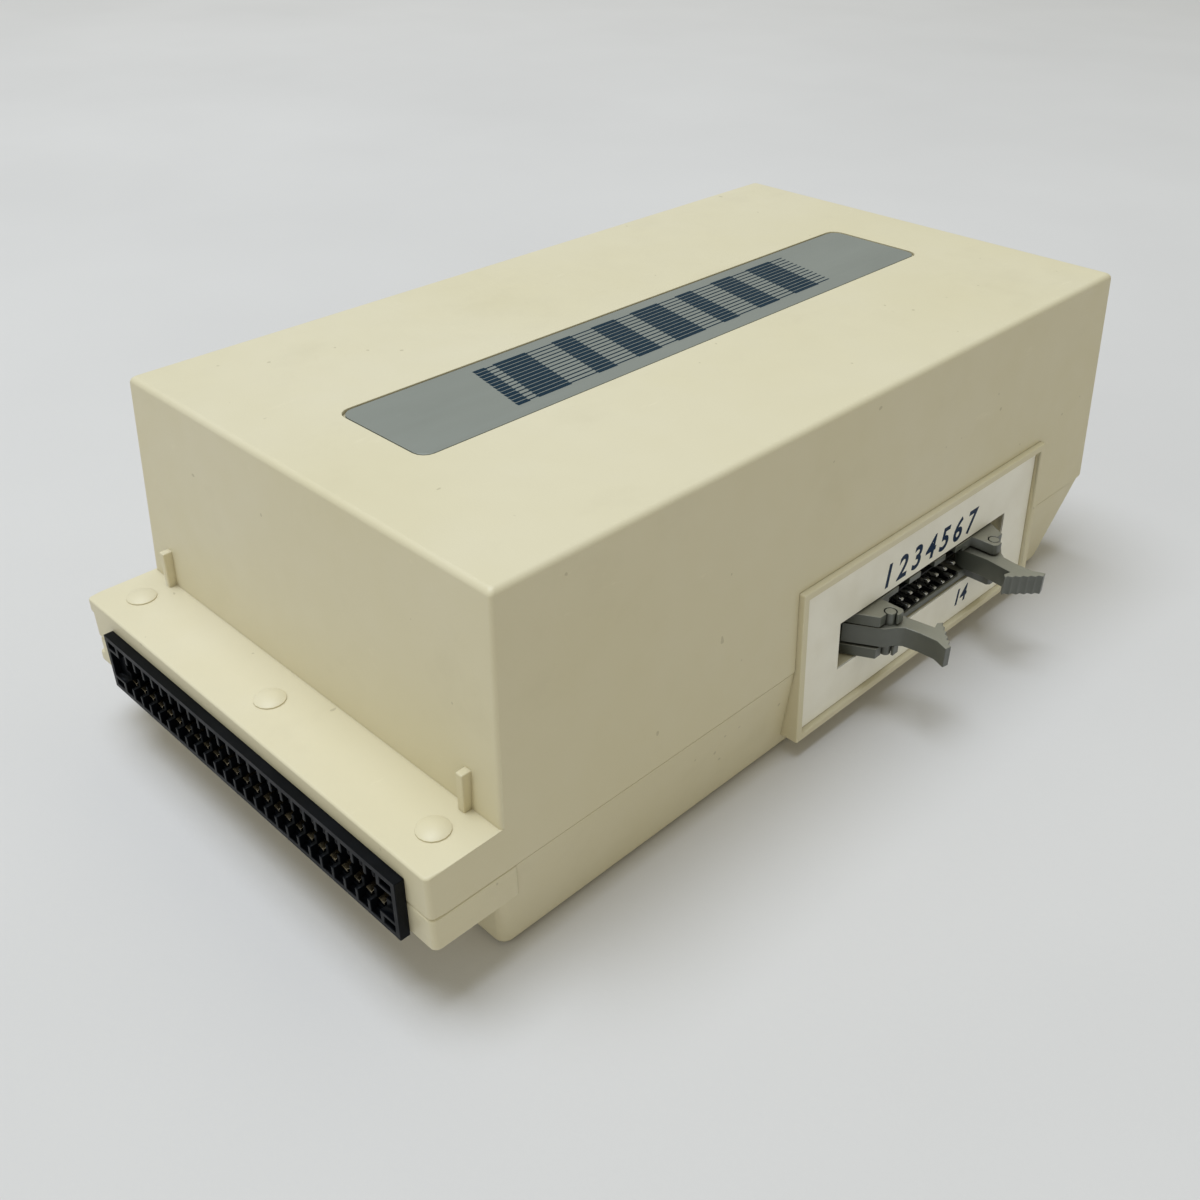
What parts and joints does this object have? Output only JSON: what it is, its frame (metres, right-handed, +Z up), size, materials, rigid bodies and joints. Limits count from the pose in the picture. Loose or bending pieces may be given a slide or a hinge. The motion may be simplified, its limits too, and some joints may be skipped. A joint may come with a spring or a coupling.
{
  "type": "home computer expansion box",
  "caption": "Cream plastic expansion box for a home computer, with a card-edge connector on its nose and a latched pin header in its right side.",
  "frame": {"origin": "middle of the flat underside", "axes": "+X towards the side with the latched header, +Y from the connector nose to the back, +Z up"},
  "size_m": [0.096, 0.1566, 0.0547],
  "materials": {
    "case_cream": "fine moulded grain",
    "badge_grey": "satin print",
    "label_white": "satin",
    "connector_black": "moulded",
    "header_grey": "glass-filled",
    "contact_gold": "gold plated",
    "board_green": "solder mask",
    "chip_black": "moulded",
    "can_blue": "shrink sleeve",
    "disc_ochre": "dipped",
    "network_yellow": "dipped",
    "resistor_tan": "lacquered",
    "screw_steel": "zinc plated"
  },
  "bodies": {
    "case": {"top_cover": "case_cream", "lower_shell": "case_cream", "top_badge": "badge_grey", "port_bezel": "case_cream", "port_label": "label_white", "edge_connector_body": "connector_black", "edge_contacts_upper": "contact_gold", "edge_contacts_lower": "contact_gold", "header_shroud": "header_grey", "header_insulator": "connector_black", "header_pins": "contact_gold", "main_board": "board_green", "rom_socket_1": "connector_black", "rom_socket_2": "connector_black", "rom_chip_1": "chip_black", "rom_chip_2": "chip_black", "interface_chip": "chip_black", "logic_chip_1": "chip_black", "logic_chip_2": "chip_black", "logic_chip_3": "chip_black", "electrolytic_capacitor_1": "can_blue", "electrolytic_capacitor_2": "can_blue", "ceramic_capacitor_1": "disc_ochre", "ceramic_capacitor_2": "disc_ochre", "ceramic_capacitor_3": "disc_ochre", "ceramic_capacitor_4": "disc_ochre", "ceramic_capacitor_5": "disc_ochre", "resistor_network": "network_yellow", "resistor_1": "resistor_tan", "resistor_2": "resistor_tan", "resistor_3": "resistor_tan", "resistor_4": "resistor_tan", "case_screw_1": "screw_steel", "case_screw_2": "screw_steel", "case_screw_3": "screw_steel", "case_screw_4": "screw_steel"},
    "front_latch": {"front_latch": "header_grey"},
    "rear_latch": {"rear_latch": "header_grey"}
  },
  "joints": [
    {"name": "front_latch_hinge", "type": "hinge", "parent": "case", "child": "front_latch", "pos_m": [0.0443, 0.00835, 0.015], "axis": [0, 0, -1], "range_deg": [0, 30]},
    {"name": "rear_latch_hinge", "type": "hinge", "parent": "case", "child": "rear_latch", "pos_m": [0.0443, 0.03865, 0.015], "axis": [0, 0, 1], "range_deg": [0, 30]}
  ]
}
